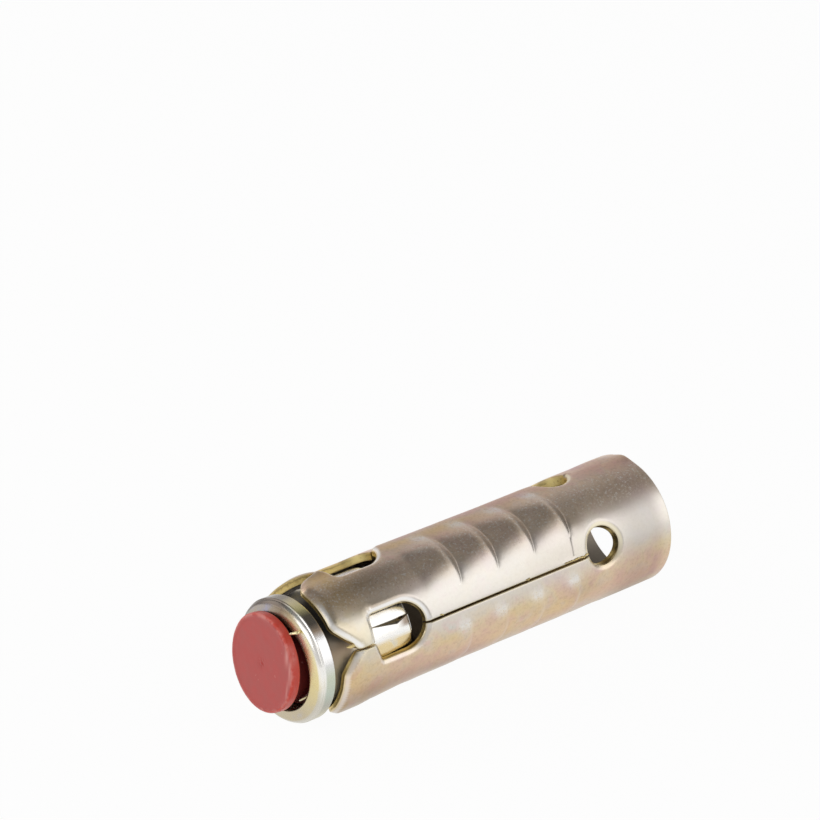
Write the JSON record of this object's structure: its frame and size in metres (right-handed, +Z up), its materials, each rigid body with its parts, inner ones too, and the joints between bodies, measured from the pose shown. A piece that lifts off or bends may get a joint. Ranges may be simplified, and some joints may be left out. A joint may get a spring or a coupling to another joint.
{
  "type": "wall plug",
  "caption": "Steel expansion wall plug: a slotted, barbed sheet sleeve that a threaded cone nut spreads in its drill hole, with a plastic dust plug.",
  "frame": {"origin": "middle of the sleeve's mouth, on the axis, in the plane of the wall's surface", "axes": "+X along the axis, out of the wall; +Z up, as the plug lies on its side; the front slit is on the -Y side, 15 degrees above the horizontal"},
  "size_m": [0.058, 0.0162, 0.0162],
  "materials": {
    "sleeve_zinc": "satin sheet steel, zinc plated with a yellow iridescent passivation",
    "nut_zinc": "bright machined steel, zinc plated with a yellow passivation",
    "red_plastic": "matt moulded plastic"
  },
  "bodies": {
    "root": {"expansion_sleeve": "sleeve_zinc", "cone_nut": "nut_zinc", "dust_plug": "red_plastic"}
  },
  "joints": []
}
